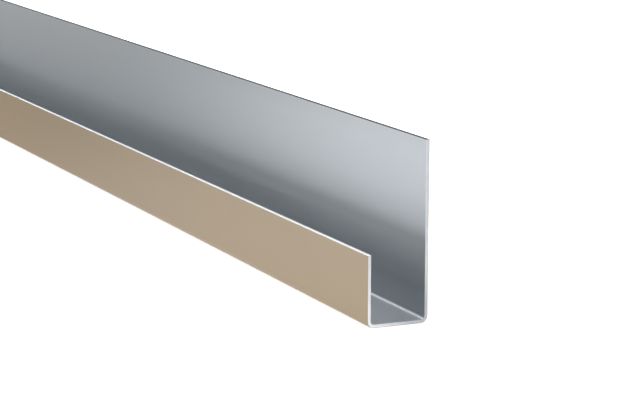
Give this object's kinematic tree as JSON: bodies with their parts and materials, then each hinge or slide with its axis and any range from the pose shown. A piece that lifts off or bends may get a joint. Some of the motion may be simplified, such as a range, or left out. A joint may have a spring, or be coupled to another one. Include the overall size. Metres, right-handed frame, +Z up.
{
  "type": "j-trim",
  "caption": "Long folded sheet-metal J-trim: a tall back leg, a narrow web and a short front leg that cups a board's edge.",
  "frame": {"origin": "underside of the web, at the middle of its width and of the trim's length", "axes": "+X along the trim, +Y from the front leg to the back leg, +Z up the legs; it stands on its web"},
  "size_m": [2.44, 0.018, 0.05],
  "materials": {
    "coated_aluminium": "satin baked beige paint on the outer face of the strip; bare mill-finish metal on its inner face and cut edges"
  },
  "bodies": {
    "root": {"j_trim": "coated_aluminium"}
  },
  "joints": []
}
